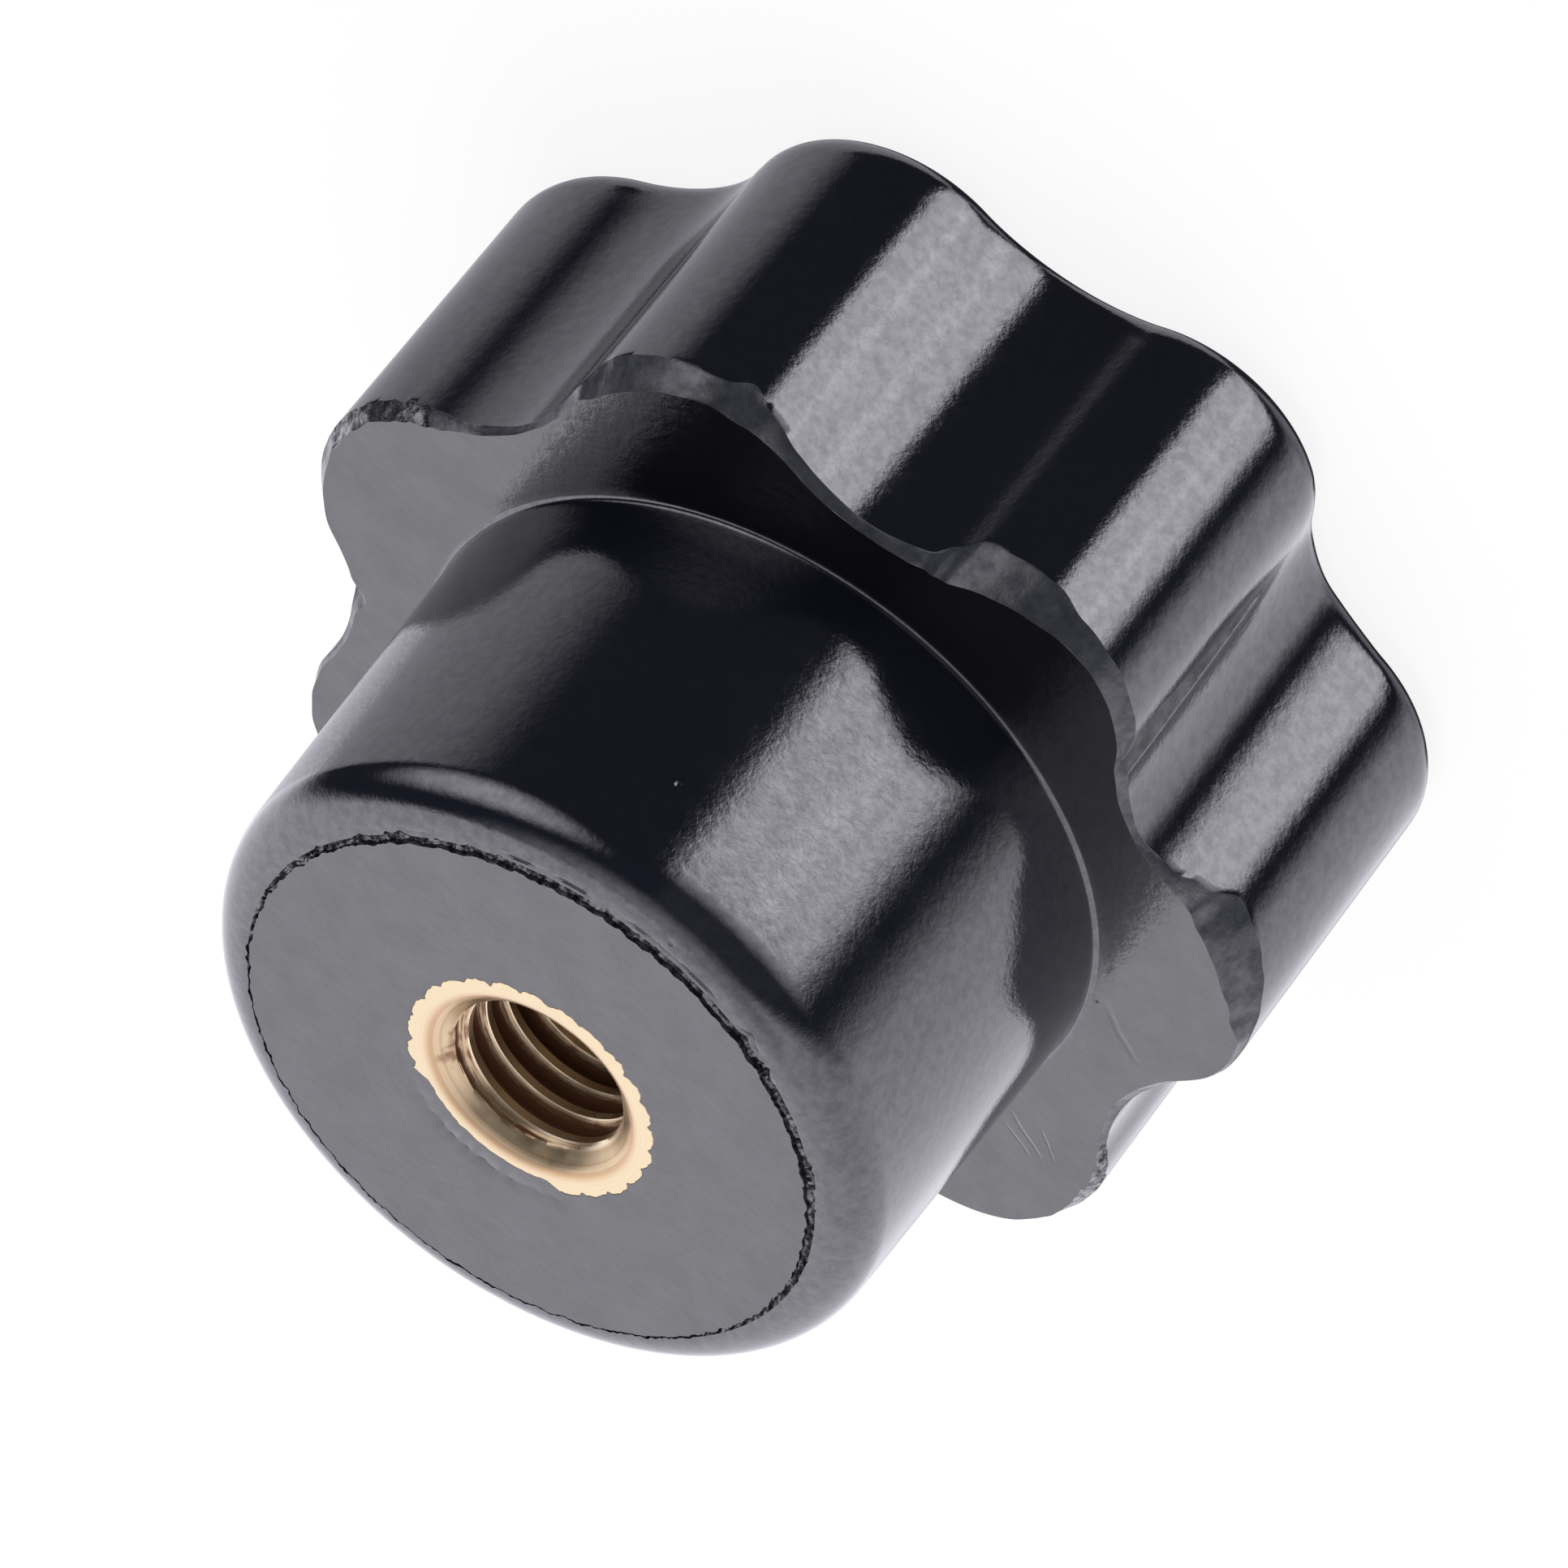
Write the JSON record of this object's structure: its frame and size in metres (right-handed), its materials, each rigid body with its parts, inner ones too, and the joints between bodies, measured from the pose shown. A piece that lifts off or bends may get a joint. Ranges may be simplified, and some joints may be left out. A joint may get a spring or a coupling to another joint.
{
  "type": "star knob",
  "caption": "Black moulded star knob with rounded lobes, a round hub and a knurled brass bush with a blind thread in the hub's end.",
  "frame": {"origin": "centre of the hub's seating face, on the thread's axis", "axes": "+Z along the thread's axis, out of its mouth; the hub and then the lobed head lie below the origin, and one lobe is centred on +X"},
  "size_m": [0.0241, 0.0246, 0.0192],
  "materials": {
    "black_phenolic": "polished as moulded, with the hub's end and the head's underside ground to a fine matt",
    "brass": "pale turned brass"
  },
  "bodies": {
    "root": {"knob_body": "black_phenolic", "threaded_insert": "brass"}
  },
  "joints": []
}
